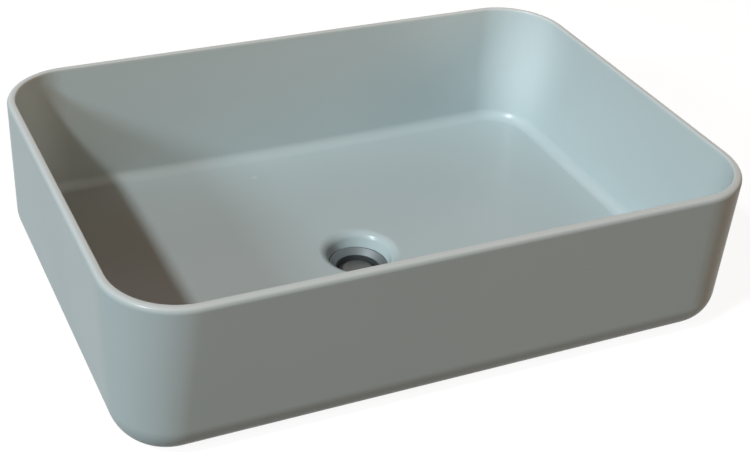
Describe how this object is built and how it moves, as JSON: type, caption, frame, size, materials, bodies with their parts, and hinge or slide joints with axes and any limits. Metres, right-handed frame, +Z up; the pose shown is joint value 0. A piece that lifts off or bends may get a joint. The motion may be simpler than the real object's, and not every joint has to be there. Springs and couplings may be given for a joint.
{
  "type": "countertop basin",
  "caption": "Rectangular thin-rimmed glazed china countertop basin with rounded corners, a floor that falls to a round drain dish, and a push waste.",
  "frame": {"origin": "middle of the foot ring, on the plane of the countertop", "axes": "+X along the basin's long side, +Y to the back, +Z up out of the bowl"},
  "size_m": [0.4996, 0.3446, 0.218],
  "materials": {
    "glazed_china": "soft-gloss pale blue-grey glaze, bare foot",
    "chromed_brass": "polished",
    "plug_metal": "satin",
    "bare_brass": "turned",
    "stainless_steel": "drawn",
    "black_rubber": "moulded",
    "white_plastic": "moulded",
    "black_plastic": "moulded"
  },
  "bodies": {
    "basin": {"basin_bowl": "glazed_china", "waste_body": "chromed_brass", "flange_seal": "black_rubber", "lower_seal": "black_rubber", "slip_washer": "white_plastic", "back_nut": "bare_brass", "index_ring": "white_plastic", "cartridge_spring": "stainless_steel", "cartridge_sleeve": "bare_brass", "cartridge_cap": "bare_brass", "cartridge_lock_nut": "bare_brass"},
    "plug": {"plug_cap": "plug_metal", "plug_seal": "black_rubber", "plug_retainer": "black_plastic", "plunger": "stainless_steel"},
    "rotor": {"rotor": "white_plastic"}
  },
  "joints": [
    {"name": "plug_slide", "type": "slide", "parent": "basin", "child": "plug", "axis": [0, 0, 1], "range_m": [-0.0015, 0.008], "deforming": ["cartridge_spring"]},
    {"name": "rotor_turn", "type": "hinge", "parent": "plug", "child": "rotor", "pos_m": [0, -0.0045, -0.0368], "axis": [0, 0, 1], "range_deg": [-8.5, 45.1]}
  ],
  "couplings": [
    {"joint": "rotor_turn", "follows": "plug_slide", "rad_per_m": 98.175}
  ]
}
